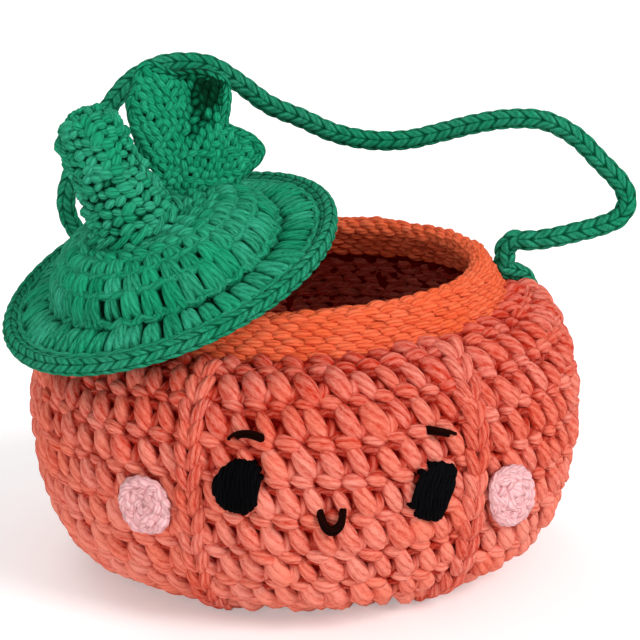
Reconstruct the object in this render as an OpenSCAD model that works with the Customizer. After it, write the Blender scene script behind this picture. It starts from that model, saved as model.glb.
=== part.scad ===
// Crocheted pumpkin treat bag with a loose cap and a cord handle.
// Millimetres, +Z up, the face looks towards -Y, origin in the middle of the underside.

/* [Bag] */
// Radius of the wall at its widest
body_r = 75; // [60:1:95]
// Height of the widest ring above the table
widest_z = 37; // [28:1:48]
// Height of the neck, where the collar starts
neck_z = 72; // [58:1:90]
// Outer radius of the wall at the neck
neck_r = 54.5; // [45:0.5:65]
// Outer radius of the foot of the wall
foot_r = 41; // [34:1:54]
// Thickness of the crocheted wall
wall_t = 5; // [3:0.5:7]
// Thickness of the flat bottom
bottom_t = 5; // [3:0.5:7]
// Fullness of the wall below the widest ring, 2 is an ellipse
low_fullness = 2.4; // [1.8:0.1:3]
// Fullness of the wall above the widest ring
high_fullness = 2.3; // [1.8:0.1:3]
// Lean of the soft mouth towards the cap, in degrees
mouth_lean = 3; // [0:0.5:5]

/* [Segments] */
// Number of pumpkin segments
segments = 6; // [5:1:8]
// Depth of the valleys between segments
valley_depth = 2.6; // [0:0.2:4]
// Height of the column of raised post stitches in each valley
post_height = 2.2; // [0:0.2:3]

/* [Collar] */
// Height of the collar above the neck
collar_h = 9; // [6:0.5:14]
// How far the collar leans in from the neck to its crest
collar_lean = 3.6; // [0:0.2:4]

/* [Face] */
// Angle of each eye from the middle of the face
eye_angle = 19.7; // [14:0.1:26]
// Height of the eyes above the table
eye_z = 41; // [34:1:50]
// Width of an eye
eye_w = 12.6; // [7:0.2:15]
// Height of an eye
eye_h = 14.4; // [9:0.2:19]
// Angle of each brow from the middle of the face
brow_angle = 19.8; // [14:0.1:26]
// Height of the brows above the table
brow_z = 55; // [50:1:62]
// Length of a brow
brow_len = 8.4; // [5:0.2:12]
// Width of a brow
brow_w = 2.4; // [1.4:0.2:3.6]
// Angle of each cheek from the middle of the face
cheek_angle = 39.5; // [36:0.5:50]
// Height of the cheeks above the table
cheek_z = 34; // [28:1:46]
// Width of a cheek disc
cheek_w = 14.6; // [9:0.2:18]
// Height of a cheek disc
cheek_h = 16.8; // [9:0.2:20]
// How far the sewn face sits higher on its left and lower on its right
face_uneven = 1.8; // [0:0.2:3]
// Angle of the smile from the middle of the face
smile_angle = -1.4; // [-4:0.2:4]
// Height of the middle of the smile above the table
smile_z = 35; // [28:1:44]
// Width of the smile between its ends
smile_w = 6; // [4:0.5:10]
// How far the smile dips
smile_drop = 4.4; // [2:0.2:7]
// Thickness of the embroidery and of the cheek discs
trim_t = 1.8; // [1:0.2:3]

/* [Lid] */
// Outer radius of the cap over its edging
lid_r = 47.6; // [44:0.2:56]
// Width of the flat brim
brim_w = 10; // [8:0.5:18]
// Thickness of the cap's fabric
lid_t = 4.4; // [3:0.2:6]
// Rise of the brim from its edge to the crown
brim_rise = 2; // [0:0.5:4]
// Height of the crown above the brim
crown_h = 12; // [8:0.5:20]
// Radius of the flat top of the crown
crown_flat_r = 15; // [10:0.5:20]
// Height of the open cap over its seat, at its middle
lid_lift = 3.2; // [2:0.2:8]
// How far the open cap lies off the mouth
lid_shift = 42; // [30:1:50]
// Tilt of the open cap against the mouth, in degrees
lid_tilt = 20.5; // [12:0.5:26]
// Direction in which the cap slides off, from the bag's left towards its face
lid_way = 28.5; // [0:0.5:40]
// Height of the closed cap's edging over the collar's crest
lid_gap = 0.9; // [0.7:0.1:2]

/* [Stem and leaf] */
// Length of the stem
stem_len = 36; // [20:1:42]
// Radius of the stem near its foot
stem_foot_r = 9; // [6:0.5:11]
// Radius of the stem below its round tip
stem_tip_r = 8.6; // [6:0.2:10]
// Thickness of the stem's fabric
stem_t = 3; // [2:0.5:4]
// Lean of the stem to the side, in degrees
stem_lean = 1; // [0:1:16]
// How far the stem stands to the left of the crown's middle
stem_off = 6; // [4:0.5:8]
// Reach of the leaf from its foot to its longest point
leaf_reach = 35; // [24:0.5:40]
// Thickness of the leaf
leaf_t = 4; // [2.6:0.2:5]
// How far the leaf curls back at its points
leaf_curl = 5; // [0:0.5:7]

/* [Handle] */
// Diameter of the handle cord
cord_d = 5.4; // [4:0.2:7]
// Diameter of the handle's sewn ends
tack_d = 4.4; // [3.4:0.2:5]

/* [Hidden] */
$fn = 96;

// Clearance between sewn pieces
seat = 0.3;
// Clearance between the flat faces of the wall, the collar and the bottom
joint = 0.1;

coral = "#df7053";
flame = "#ea6234";
green = "#178a62";
leaf_green = "#118058";
black = "#0a0a0c";
dark = "#2a0c08";
pink = "#f0b6b8";
white = "#f2f2ee";

// Wall outline: two quarters of a superellipse that meet at the widest ring
function arc_part(k, n) = pow(max(0, 1 - pow(abs(k), n)), 1 / n);
function low_r(z, foot, wide, z0) =
    foot + (wide - foot) * arc_part((widest_z - z) / (widest_z - z0), low_fullness);
function high_r(z, neck, wide, z1) =
    neck + (wide - neck) * arc_part((z - widest_z) / (z1 - widest_z), high_fullness);
function outer_r(z) =
    z < widest_z ? low_r(z, foot_r, body_r, 0) : high_r(z, neck_r, body_r, neck_z);

// Heights of the wall's rings, closer together where the outline turns
ring_steps = 8;
function low_z(i, z0) = widest_z - (widest_z - z0) * pow(sin(90 - 90 * i / ring_steps), 2 / low_fullness);
function high_z(i, z1) = widest_z + (z1 - widest_z) * pow(sin(90 * i / ring_steps), 2 / high_fullness);

// Segments: a valley with a raised column of post stitches in its middle
wall_steps = 72;
function lobe(a) = (1 + cos(segments * (a + 90) - 180)) / 2;
function valley(a) = post_height * pow(lobe(a), 24) - valley_depth * pow(lobe(a), 2);
function fade(z) = pow(max(0, sin(180 * min(1, max(0, z / neck_z)))), 0.6);

// The soft mouth leans, and the wall follows it more and more towards the neck
lean_slope = tan(mouth_lean);
function leaned(p) = [p.x, p.y, p.z + p.x * lean_slope * pow(min(1, max(0, p.z / neck_z)), 2)];

// A point of the wall's outside at an angle from the face, a height and a distance out
function slope_at(z) = atan(outer_r(z - 0.5) - outer_r(z + 0.5));
function face_point(angle, z, out) =
    let (a = angle - 90)
    let (r = outer_r(z) + valley(a) * fade(z) + out * cos(slope_at(z)))
    leaned([r * cos(a), r * sin(a), z + out * sin(slope_at(z))]);

// Shell of rings: each ring is a list of points, the last ring joins the first
module ring_loop(rings) {
    n = len(rings[0]);
    m = len(rings);
    polyhedron(
        [for (ring = rings) for (p = ring) p],
        [for (j = [0:m - 1]) for (i = [0:n - 1]) for (half = [0, 1])
            let (a = j * n + i)
            let (b = j * n + (i + 1) % n)
            let (c = ((j + 1) % m) * n + (i + 1) % n)
            let (d = ((j + 1) % m) * n + i)
            half == 0 ? [a, c, b] : [a, d, c]]
    );
}

// Closed body of rings with a flat fan at each end
module ring_body(rings) {
    n = len(rings[0]);
    m = len(rings);
    last = (m - 1) * n;
    polyhedron(
        [for (ring = rings) for (p = ring) p],
        concat(
            [for (i = [1:n - 2]) [0, i, i + 1]],
            [for (i = [1:n - 2]) [last, last + i + 1, last + i]],
            [for (j = [0:m - 2]) for (i = [0:n - 1]) for (half = [0, 1])
                let (a = j * n + i)
                let (b = j * n + (i + 1) % n)
                let (c = (j + 1) * n + (i + 1) % n)
                let (d = (j + 1) * n + i)
                half == 0 ? [a, c, b] : [a, d, c]]
        )
    );
}

// Tube along a route: rings square to the route, turned as little as the route allows
function unit(v) = v / norm(v);
function along(route, i) =
    unit(route[min(len(route) - 1, i + 1)] - route[max(0, i - 1)]);
function side_of(t, before) = unit(before - t * (before * t));
function sides_from(route, i, before) =
    i == len(route) ? [] :
    let (s = side_of(along(route, i), before))
    concat([s], sides_from(route, i + 1, s));
module tube(route, d, sides) {
    first = abs(along(route, 0).z) < 0.9 ? [0, 0, 1] : [0, 1, 0];
    across = sides_from(route, 0, first);
    ring_body([for (i = [0:len(route) - 1])
        let (t = along(route, i))
        let (u = across[i])
        let (v = cross(t, u))
        [for (k = [0:sides - 1])
            route[i] + d / 2 * (u * cos(360 * k / sides) + v * sin(360 * k / sides))]]);
}

// Both brows sit a little to the right, and each has its own turn, as each eye has
brow_shift = 1.6;
brow_turn_left = 8;
brow_turn_right = -12;
eye_turn = 4;

// Sewn patch on the wall: an oval pad that follows the wall's curve.
// Each layer has a share of the pad's width and a share of its thickness.
patch_steps = 20;
patch_layers = [[0.3, 0], [1, 0], [1, 0.55], [0.85, 0.9], [0.4, 1]];
module patch(angle, z, w, h, turn) {
    ring_body([for (layer = patch_layers)
        [for (k = [0:patch_steps - 1])
            let (c = -360 * k / patch_steps)
            let (x = layer[0] * w / 2 * cos(c))
            let (y = layer[0] * h / 2 * sin(c))
            let (u = x * cos(turn) - y * sin(turn))
            let (v = x * sin(turn) + y * cos(turn))
            let (aside = u / outer_r(z) * 180 / PI)
            let (up = v * cos(slope_at(z)))
            face_point(angle + aside, z + up, seat + trim_t * layer[1])]]);
}

// The mouth's own frame, and the cap's way from its seat to where it lies open
collar_top_r = neck_r - wall_t / 2 - collar_lean;
crest_r = wall_t / 2;
// The round edging is a little thicker than the fabric
edge_r = 0.6 * lid_t;
edge_mid = lid_r - edge_r;
seat_z = collar_h + edge_r + lid_gap;
way = [-cos(lid_way), -sin(lid_way), 0];
swing_axis = [-way.y, way.x, 0];
half_move = sqrt(pow(lid_shift, 2) + pow(lid_lift, 2)) / 2;
pole_drop = half_move / tan(lid_tilt / 2);
pole_s = lid_shift / 2 + pole_drop * lid_lift / (2 * half_move);
pole_z = seat_z + lid_lift / 2 - pole_drop * lid_shift / (2 * half_move);

module mouth_frame() {
    translate([0, 0, neck_z])
        rotate([0, -mouth_lean, 0])
            children();
}

module open_lid() {
    mouth_frame()
        translate(way * pole_s + [0, 0, pole_z])
            rotate(a = lid_tilt, v = swing_axis)
                translate([0, 0, seat_z - pole_z] - way * pole_s)
                    children();
}

// Cap outline: the brim's slope, the crown's shoulder and its flat top
crown_r = lid_r - 2 * edge_r - brim_w;
shoulder_r = crown_r - crown_flat_r;
function brim_low(r) = -lid_t / 2 + brim_rise * (edge_mid - edge_r - r) / brim_w;
crown_low = brim_low(crown_r);
crown_top = crown_low + lid_t + crown_h;
shoulder_steps = 10;
function shoulder(r, h, low) =
    [for (i = [0:shoulder_steps])
        let (a = 90 * i / shoulder_steps)
        [crown_flat_r + r * cos(a), low + h * sin(a)]];

// Leaf outline: angle from the crown's axis towards the right, and share of the reach
leaf_points = [
    [-14, 0.28], [-7, 0.8], [9, 1], [27, 0.86], [48, 0.99],
    [62, 0.72], [87, 0.82], [100, 0.58], [112, 0.24]
];
leaf_foot = [6, 5.5, crown_top + 1];
leaf_lean_back = 8;
leaf_steps = 3;
function eased(f) = (1 - cos(180 * f)) / 2;
function leaf_rim(k) =
    let (i = floor(k / leaf_steps))
    let (f = (k % leaf_steps) / leaf_steps)
    let (p = leaf_points[i])
    let (q = leaf_points[min(len(leaf_points) - 1, i + 1)])
    [p[0] + (q[0] - p[0]) * f, leaf_reach * (p[1] + (q[1] - p[1]) * eased(f))];
function leaf_at(k, share, out) =
    let (rim = leaf_rim(k))
    let (r = rim[1] * share)
    let (bend = leaf_curl * pow(r / leaf_reach, 2))
    [r * sin(rim[0]), bend + out, r * cos(rim[0])];

// Handle route from the left tack to the right one, its ends in line with the swing axis.
// The points are for the neck's size given here, and they grow with the neck.
route_neck_r = 54.5;
route_neck_z = 72;
route_points = [
    [-45.6, 37.4, 78], [-50.6, 39.2, 77.7], [-56.4, 40.2, 79], [-61, 40, 83.5], [-63, 39, 90],
    [-62, 38, 97], [-58, 38, 106], [-53, 38, 114], [-49, 38, 120], [-44, 36, 126], [-37, 35, 130],
    [-30, 35, 131], [-22, 34, 130], [-14, 33, 125], [-6, 32, 119], [3, 32, 115], [12, 30, 111],
    [22, 28, 109], [32, 25, 109.5], [41, 22, 112], [50, 18, 115], [59, 14, 117], [68, 10, 117],
    [76, 7, 113], [82, 4, 107], [88, 2, 100.5], [89.5, 1, 95.5], [87, 0, 91.5], [81.5, -1, 89.5],
    [75, -2, 88.3], [69, -2.5, 87.2], [63.5, -1.8, 86.3], [58.5, 0, 86]
];
handle_route = [for (p = route_points)
    [p.x * neck_r / route_neck_r, p.y * neck_r / route_neck_r, p.z + neck_z - route_neck_z]];
cord_sides = 10;
handle_left = handle_route[0];
handle_right = handle_route[len(handle_route) - 1];
handle_axis = (handle_right - handle_left) / norm(handle_right - handle_left);

// Sewn ends: a gap in which the handle turns, a short run on the swing axis, a bend and a tail
swing_gap = 0.4;
tack_run = 0.7;
tack_bend = tack_d / 2 + 0.2;
fold_rise = 0.8 * tack_d;
tail_drop = 2;
function bearing(p) = atan2(p.y, p.x) + 90;

module bottom() {
    color(coral)
        cylinder(r = foot_r - wall_t - joint - seat, h = bottom_t);
}

module wall() {
    inner_foot = foot_r - wall_t;
    inner_neck = neck_r - wall_t;
    inner_wide = body_r - wall_t - valley_depth;
    outline = concat(
        [[inner_foot, 0, 0]],
        [for (i = [0:ring_steps]) [low_r(low_z(i, 0), foot_r, body_r, 0), low_z(i, 0), 1]],
        [for (i = [1:ring_steps]) [high_r(high_z(i, neck_z), neck_r, body_r, neck_z), high_z(i, neck_z), 1]],
        [[inner_neck, neck_z, 0]],
        [for (i = [ring_steps:-1:1])
            let (z = high_z(i, neck_z - wall_t))
            [high_r(z, inner_neck, inner_wide, neck_z - wall_t), z, 0]],
        [for (i = [ring_steps:-1:0])
            let (z = low_z(i, bottom_t))
            [low_r(z, inner_foot, inner_wide, bottom_t), z, 0]]
    );
    color(coral)
        ring_loop([for (p = outline)
            [for (k = [0:wall_steps - 1])
                let (a = 360 * k / wall_steps)
                let (r = p[0] + p[2] * valley(a) * fade(p[1]))
                leaned([r * cos(a), r * sin(a), p[1]])]]);
}

module collar() {
    inner_foot = neck_r - wall_t;
    crest = [for (a = [0:15:180])
        [collar_top_r + crest_r * cos(a), collar_h - crest_r + crest_r * sin(a)]];
    color(flame)
        mouth_frame()
            rotate_extrude()
                polygon(concat([[inner_foot, joint], [neck_r, joint]], crest));
}

module eye(side) {
    color(black)
        patch(side * eye_angle, eye_z - side * face_uneven, eye_w, eye_h, -side * eye_turn);
}

module brow(side) {
    turn = side < 0 ? brow_turn_left : brow_turn_right;
    color(dark)
        patch(side * brow_angle + brow_shift, brow_z - side * face_uneven, brow_len, brow_w, turn);
}

module smile() {
    steps = 10;
    color(dark)
        tube([for (i = [0:steps])
            let (f = 2 * i / steps - 1)
            face_point(smile_angle + f * smile_w / 2 / body_r * 180 / PI,
                smile_z + smile_drop * (pow(f, 2) - 0.5), seat + trim_t / 2)], trim_t, 8);
}

module cheek(side) {
    color(pink)
        patch(side * cheek_angle, cheek_z - side * face_uneven, cheek_w, cheek_h, 0);
}

// Sewn end of the handle: it turns down at the collar, and its tail lies over the shoulder
module tack(cord_end, inward) {
    angle = bearing(cord_end);
    start = cord_end + inward * swing_gap;
    bend_start = start + inward * tack_run;
    turn = [for (i = [0:3])
        bend_start + tack_bend * (inward * sin(30 * i) + [0, 0, cos(30 * i) - 1])];
    fold = leaned([turn[3].x, turn[3].y, neck_z]) + [0, 0, fold_rise];
    tail = face_point(angle, neck_z - tail_drop, tack_d / 2 + seat);
    color(green)
        tube(concat([start], turn, [fold, tail]), tack_d, cord_sides);
}

module lid_crown() {
    color(green)
        open_lid()
            rotate_extrude()
                polygon(concat(
                    [[0, crown_top - lid_t], [crown_flat_r, crown_top - lid_t]],
                    [for (i = [shoulder_steps - 1:-1:0]) shoulder(shoulder_r - lid_t, crown_h, crown_low)[i]],
                    shoulder(shoulder_r, crown_h + lid_t, crown_low),
                    [[0, crown_top]]));
}

module lid_brim() {
    inner = crown_r + joint;
    outer = edge_mid - edge_r - joint;
    color(green)
        open_lid()
            rotate_extrude()
                polygon([
                    [inner, brim_low(inner)], [outer, brim_low(outer)],
                    [outer, brim_low(outer) + lid_t], [inner, brim_low(inner) + lid_t]]);
}

module lid_edging() {
    color(green)
        open_lid()
            rotate_extrude()
                translate([edge_mid, 0])
                    circle(r = edge_r);
}

// Outline of the stuffed stem: a flared foot, a slight waist and a round tip
stem_waist = 0.5;
module stem_outline(inset) {
    foot = stem_foot_r - inset;
    tip = stem_tip_r - inset;
    top = stem_len - inset;
    polygon(concat(
        [[0, -stem_foot_r], [foot, -stem_foot_r]],
        [for (a = [0:11.25:90])
            [tip + (foot - tip) * pow(cos(a), 2) - stem_waist * sin(2 * a), (top - tip) * a / 90]],
        [for (a = [10:10:90]) [tip * cos(a), top - tip + tip * sin(a)]]));
}

module stem_body(inset, gap) {
    difference() {
        translate([-stem_off, 0, crown_top])
            rotate([0, -stem_lean, 0])
                rotate_extrude()
                    stem_outline(inset);
        translate([-lid_r, -lid_r, crown_top + gap - lid_r])
            cube([2 * lid_r, 2 * lid_r, lid_r]);
    }
}

module stem_cover() {
    color(green)
        open_lid()
            difference() {
                stem_body(0, joint);
                stem_body(stem_t, -1);
            }
}

module stem_filling() {
    color(white)
        open_lid()
            stem_body(stem_t + seat, joint);
}

module leaf() {
    count = (len(leaf_points) - 1) * leaf_steps;
    front = [for (share = [0.75, 0.4, 0.1]) [for (k = [count:-1:0]) leaf_at(k, share, 0)]];
    back = [for (share = [0.1, 0.4, 0.75]) [for (k = [count:-1:0]) leaf_at(k, share, leaf_t)]];
    edge = [for (out = [0.8, 0.2]) [for (k = [count:-1:0]) leaf_at(k, 1, out * leaf_t)]];
    color(leaf_green)
        open_lid()
            translate(leaf_foot)
                rotate([-leaf_lean_back, 0, 0])
                    ring_body(concat(back, edge, front));
}

module handle_cord() {
    color(green)
        tube(handle_route, cord_d, cord_sides);
}

bottom();
wall();
collar();
eye(-1);  // eye_left
eye(1);  // eye_right
brow(-1);  // brow_left
brow(1);  // brow_right
smile();
cheek(-1);  // cheek_left
cheek(1);  // cheek_right
tack(handle_left, handle_axis);  // tack_left
tack(handle_right, -handle_axis);  // tack_right
lid_crown();
lid_brim();
lid_edging();
stem_cover();
stem_filling();
leaf();
handle_cord();
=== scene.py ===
import math

import bpy
import numpy as np
from mathutils import Matrix, Vector


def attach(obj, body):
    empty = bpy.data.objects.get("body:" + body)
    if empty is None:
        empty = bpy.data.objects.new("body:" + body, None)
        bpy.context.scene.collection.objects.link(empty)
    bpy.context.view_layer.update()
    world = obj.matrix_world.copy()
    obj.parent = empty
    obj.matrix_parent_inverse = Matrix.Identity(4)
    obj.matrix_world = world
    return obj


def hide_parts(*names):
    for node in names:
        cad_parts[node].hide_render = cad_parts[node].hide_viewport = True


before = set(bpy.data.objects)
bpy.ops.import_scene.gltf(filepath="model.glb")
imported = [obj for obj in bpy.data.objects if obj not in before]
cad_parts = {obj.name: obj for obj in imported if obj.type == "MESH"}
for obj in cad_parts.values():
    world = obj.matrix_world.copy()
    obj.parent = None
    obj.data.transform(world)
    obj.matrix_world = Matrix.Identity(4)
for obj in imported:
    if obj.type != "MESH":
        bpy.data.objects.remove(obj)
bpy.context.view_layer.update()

# Sizes in millimetres, angles in degrees from the middle of the face
LEFT, RIGHT = -1, 1
BODY_R, WIDEST_Z, NECK_Z, NECK_R, FOOT_R = 75, 37, 72, 54.5, 41
LOW_FULLNESS, HIGH_FULLNESS = 2.4, 2.3
SEGMENTS, VALLEY_DEPTH = 6, 2.6
WALL_T, MOUTH_LEAN = 5, 3
COLLAR_H, COLLAR_LEAN = 9, 3.6
EYE_ANGLE, EYE_Z, EYE_UNEVEN = 19.4, 41.5, 2.3
EYE_SIZE = {LEFT: (11.4, 13.4), RIGHT: (10.8, 13.8)}
EYE_SLANT, EYE_BLUNT = {LEFT: 10, RIGHT: 18}, {LEFT: 3.5, RIGHT: 5}
EYE_BEND, EYE_CUT = {LEFT: 0, RIGHT: 2.2}, {LEFT: 0.2, RIGHT: 0}
BROW_ANGLE, BROW_SHIFT, BROW_Z, BROW_UNEVEN, BROW_LEN = 19.8, 1.6, 55, 1.1, 8.4
BROW_TURN, BROW_ARCH = {LEFT: 8, RIGHT: -20}, {LEFT: 1.3, RIGHT: 0.1}
CHEEK_ANGLE, CHEEK_Z, CHEEK_UNEVEN = 39.5, 34, 1.4
CHEEK_W, CHEEK_H, CHEEK_OUT, CHEEK_SQUARE = 14.6, 16.8, 1.8, 2.5
CHEEK_SHARE, CHEEK_SHEAR = {LEFT: 0.93, RIGHT: 1}, {LEFT: 0, RIGHT: 0.3}
SMILE_ANGLE, SMILE_Z, SMILE_W, SMILE_DROP = -1.4, 35, 6, 4.4
LID_R, BRIM_W, LID_T, BRIM_RISE, CROWN_H, CROWN_FLAT_R = 47.6, 10, 4.4, 2, 12, 15
LID_LIFT, LID_SHIFT, LID_TILT, LID_WAY, LID_GAP = 3.2, 42, 20.5, 28.5, 0.9
STEM_LEN, STEM_FOOT_R, STEM_TIP_R, STEM_WAIST, STEM_LEAN, STEM_OFF = 36, 9, 8.6, 0.5, 1, 6
LEAF_REACH, LEAF_T, LEAF_CURL, LEAF_LEAN_BACK = 35, 4, 5, 8
# The leaf's rim: angle from upright, and share of its reach
LEAF_POINTS = [(-6, 0.28), (4, 0.8), (14, 1), (27, 0.91), (48, 0.99), (62, 0.72), (87, 0.82),
               (100, 0.58), (112, 0.24)]
CORD_D, TACK_D, TACK_RUN = 5.4, 4.4, 1.1
HANDLE_ROUTE = np.array([
    [-45.6, 37.4, 78], [-50.6, 39.2, 77.7], [-56.4, 40.2, 79], [-61, 40, 83.5], [-63, 39, 90],
    [-62, 38, 97], [-58, 38, 106], [-53, 38, 114], [-49, 38, 120], [-44, 36, 126], [-37, 35, 130],
    [-30, 35, 131], [-22, 34, 130], [-14, 33, 125], [-6, 32, 119], [3, 32, 115], [12, 30, 111],
    [22, 28, 109], [32, 25, 109.5], [41, 22, 112], [50, 18, 115], [59, 14, 117], [68, 10, 117],
    [76, 7, 113], [82, 4, 107], [88, 2, 100.5], [89.5, 1, 95.5], [87, 0, 91.5], [81.5, -1, 89.5],
    [75, -2, 88.3], [69, -2.5, 87.2], [63.5, -1.8, 86.3], [58.5, 0, 86]])
rng = np.random.default_rng(12)
TINY = 1e-9


# Camera
def stand_camera():
    """In front, a little to the left and above the floor. Its sizes are in metres."""
    turn, rise, far = math.radians(-7), math.radians(16), 0.7
    aim, to_right, to_up = np.array([0, 0, 0.04]), 0.00442, 0.02431
    back = np.array([math.sin(turn) * math.cos(rise), -math.cos(turn) * math.cos(rise), math.sin(rise)])
    right = np.array([math.cos(turn), math.sin(turn), 0])
    up = np.cross(back, right)
    spot = aim + back * far + right * to_right + up * to_up
    data = bpy.data.cameras.new("camera")
    data.lens, data.sensor_width = 142.54, 36
    camera = bpy.data.objects.new("camera", data)
    stand = np.vstack([np.column_stack([right, up, back, spot]), [0, 0, 0, 1]])
    camera.matrix_world = Matrix(stand.tolist())
    bpy.context.scene.collection.objects.link(camera)
    bpy.context.scene.camera = camera


stand_camera()


# Materials
class Link:
    """A socket in the nodes of a material or a world. Sums with it add Math nodes."""

    def __init__(self, tree, socket=None):
        self.tree, self.socket = tree, socket

    def node(self, kind, settings=(), sockets=(), out=0):
        """A node of any kind, with its settings and the values or links of its sockets."""
        made = self.tree.nodes.new("ShaderNode" + kind)
        for name, value in dict(settings).items():
            setattr(made, name, value)
        for name, value in dict(sockets).items():
            if isinstance(value, Link):
                self.tree.links.new(value.socket, made.inputs[name])
            else:
                made.inputs[name].default_value = value
        return Link(self.tree, made.outputs[out])

    def also(self, out):
        """Another output of the same node."""
        return Link(self.tree, self.socket.node.outputs[out])

    def show(self, kind):
        """Lead this shader to the output of a material or a world."""
        end = self.tree.nodes.new("ShaderNodeOutput" + kind)
        self.tree.links.new(self.socket, end.inputs[0])

    def maths(self, operation, *values):
        return self.node("Math", {"operation": operation}, dict(enumerate(values)))

    def __add__(self, other):
        return self.maths("ADD", self, other)

    def __sub__(self, other):
        return self.maths("SUBTRACT", self, other)

    def __rsub__(self, other):
        return self.maths("SUBTRACT", other, self)

    def __mul__(self, other):
        return self.maths("MULTIPLY", self, other)

    def __abs__(self):
        return self.maths("ABSOLUTE", self)

    __radd__, __rmul__ = __add__, __mul__

    def clamped(self):
        return self.node("Clamp", (), {0: self})

    def blend(self, low, high):
        return self.node("Mix", {"data_type": "RGBA"}, {0: self, 6: low, 7: high}, 2)


def empty_nodes(owner):
    """The nodes of a material or a world, emptied to be laid anew."""
    owner.use_nodes = True
    owner.node_tree.nodes.clear()
    return Link(owner.node_tree)


def colour(text):
    """Linear colour of six hexadecimal digits."""
    parts = [int(text[i:i + 2], 16) / 255 for i in (0, 2, 4)]
    return (*(c / 12.92 if c < 0.04045 else ((c + 0.055) / 1.055) ** 2.4 for c in parts), 1)


def yarn_finish(name, lit, warm, shade, hole_shade, twist=0.6, rough=0.85, gloss=0.05, relief=0.8):
    """Spun yarn: twisted plies, fine fibres and uneven dye, with painted shade between the plies and
    where it goes into the fabric.
    """
    material = bpy.data.materials.new(name)
    start = empty_nodes(material)
    place = start.node("Attribute", {"attribute_name": "yarn"}, out="Vector")
    ply = place.node("SeparateXYZ", (), {0: place})
    along, tint = ply.also(1), ply.also(2)
    depth = start.node("Attribute", {"attribute_name": "depth"}, out="Fac")
    across, lengthwise, apart = 1.6, 0.3, 40
    strand = start.node("CombineXYZ", (), {0: ply * across, 1: along * lengthwise, 2: tint * apart})
    fibre = start.node("TexNoise", (), {"Vector": strand, "Scale": 2.6, "Detail": 3, "Roughness": 0.6})
    slack = start.node("TexNoise", (), {"Vector": strand, "Scale": 0.7, "Detail": 1})
    straying, mean_wave = 0.9, 0.64
    wave = abs(ply.maths("SINE", (ply + straying * (slack - 0.5)) * math.pi))
    spot = start.node("TexCoord", out="Object")
    dye = start.node("TexNoise", (), {"Vector": spot, "Scale": 60, "Detail": 2})
    other_tint = tint.maths("FRACT", tint * 7.3)
    # Painted shade: the deeper the yarn lies in the fabric, the more it takes the dark hole colour.
    out_of_shade = (depth * 0.8 + 1.1).clamped()
    by_fibre, by_tint, by_depth_shade = 1.5, 0.35, 0.7
    # The ply wave paints shade in the grooves between plies; fibre and tint vary the tone at random.
    light = 0.5 + twist * (wave - mean_wave) + by_fibre * (fibre - 0.5) + by_tint * (tint - 0.5)
    light = (light + by_depth_shade * (out_of_shade - 1)).clamped()
    by_dye, by_strand = 2.4, 0.8
    warmth = (0.45 + by_dye * (dye - 0.5) + by_strand * (other_tint - 0.5)).clamped()
    surface = light.blend(colour(shade), warmth.blend(colour(lit), colour(warm)))
    ply_relief, fibre_relief = 1.3 * twist, 0.9
    height = ply_relief * wave + fibre_relief * fibre
    bump = start.node("Bump", (), {"Strength": relief, "Distance": 0.0005, "Height": height})
    shader = start.node("BsdfPrincipled", (), {
        "Base Color": out_of_shade.blend(colour(hole_shade), surface), "Normal": bump,
        "Roughness": (fibre * 0.25 + (rough - 0.12)).clamped(), "Specular IOR Level": gloss,
        "Sheen Weight": 0.03, "Sheen Roughness": 0.4, "Sheen Tint": colour(lit)})
    shader.show("Material")
    return material


CORAL = yarn_finish("coral_yarn", "ee907e", "ef8169", "bf2f19", "860502", 0.45)
FLAME = yarn_finish("flame_yarn", "f97c55", "fa7245", "de5631", "b02f12")
GREEN = yarn_finish("green_yarn", "3fb18e", "22a67a", "006742", "00200f", 0.4)
LEAF = yarn_finish("leaf_yarn", "2eae85", "1ea578", "04764f", "00301a", 0.4)
BLACK = yarn_finish("black_yarn", "0d0d10", "07080a", "020203", "000000", 0.6, 0.75, 0.02)
DARK = yarn_finish("dark_yarn", "240a06", "1c0704", "0d0201", "030000", 0.6, 0.8, 0.02)
PINK = yarn_finish("pink_yarn", "fccdcf", "f9c1c3", "e3a3a5", "c07c7e")


# Yarn
def through(points, steps, closed):
    """A smooth line of this many steps for each point, through the rows of points."""
    if closed:
        before, after, last = np.roll(points, 1, 0), np.roll(points, -1, 0), np.roll(points, -2, 0)
        here = points
    else:
        long = np.vstack([2 * points[:1] - points[1:2], points, 2 * points[-1:] - points[-2:-1]])
        before, here, after, last = long[:-3], long[1:-2], long[2:-1], long[3:]
    f = (np.arange(steps) / steps)[None, :, None]
    a, b, c, d = (x[:, None, :] for x in (before, here, after, last))
    line = 2 * b + (c - a) * f + (2 * a - 5 * b + 4 * c - d) * f**2 + (3 * b - a - 3 * c + d) * f**3
    line = (0.5 * line).reshape(-1, points.shape[1])
    return line if closed else np.vstack([line, points[-1:]])


def unit(v):
    return v / np.maximum(np.linalg.norm(v, axis=-1, keepdims=True), TINY)


def runs_of(line):
    """Distance along a line at each of its points."""
    return np.concatenate([[0], np.cumsum(np.linalg.norm(np.diff(line, axis=0), axis=1))])


def evenly(line, count):
    """Points at even distances along a line."""
    run = runs_of(line)
    at = np.linspace(0, run[-1], count)
    return np.column_stack([np.interp(at, run, line[:, i]) for i in range(line.shape[1])])


def frames(line, closed):
    """Two directions across a line at each of its points, turning as little as they can."""
    ahead = unit(np.roll(line, -1, 0) - np.roll(line, 1, 0) if closed else np.gradient(line, axis=0))
    side = np.empty_like(ahead)
    v = np.cross(ahead[0], [0.3, 0.5, 0.8])
    for i, t in enumerate(ahead):
        v = v - t * (v @ t)
        v = v / max(math.sqrt(v @ v), TINY)
        side[i] = v
    other = np.cross(ahead, side)
    if closed:
        v = side[-1] - ahead[0] * (side[-1] @ ahead[0])
        slip = math.atan2(v @ other[0], v @ side[0])
        turn = -slip * np.linspace(0, 1, len(line))[:, None]
        c, s = np.cos(turn), np.sin(turn)
        side, other = side * c + other * s, other * c - side * s
    return side, other


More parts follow.
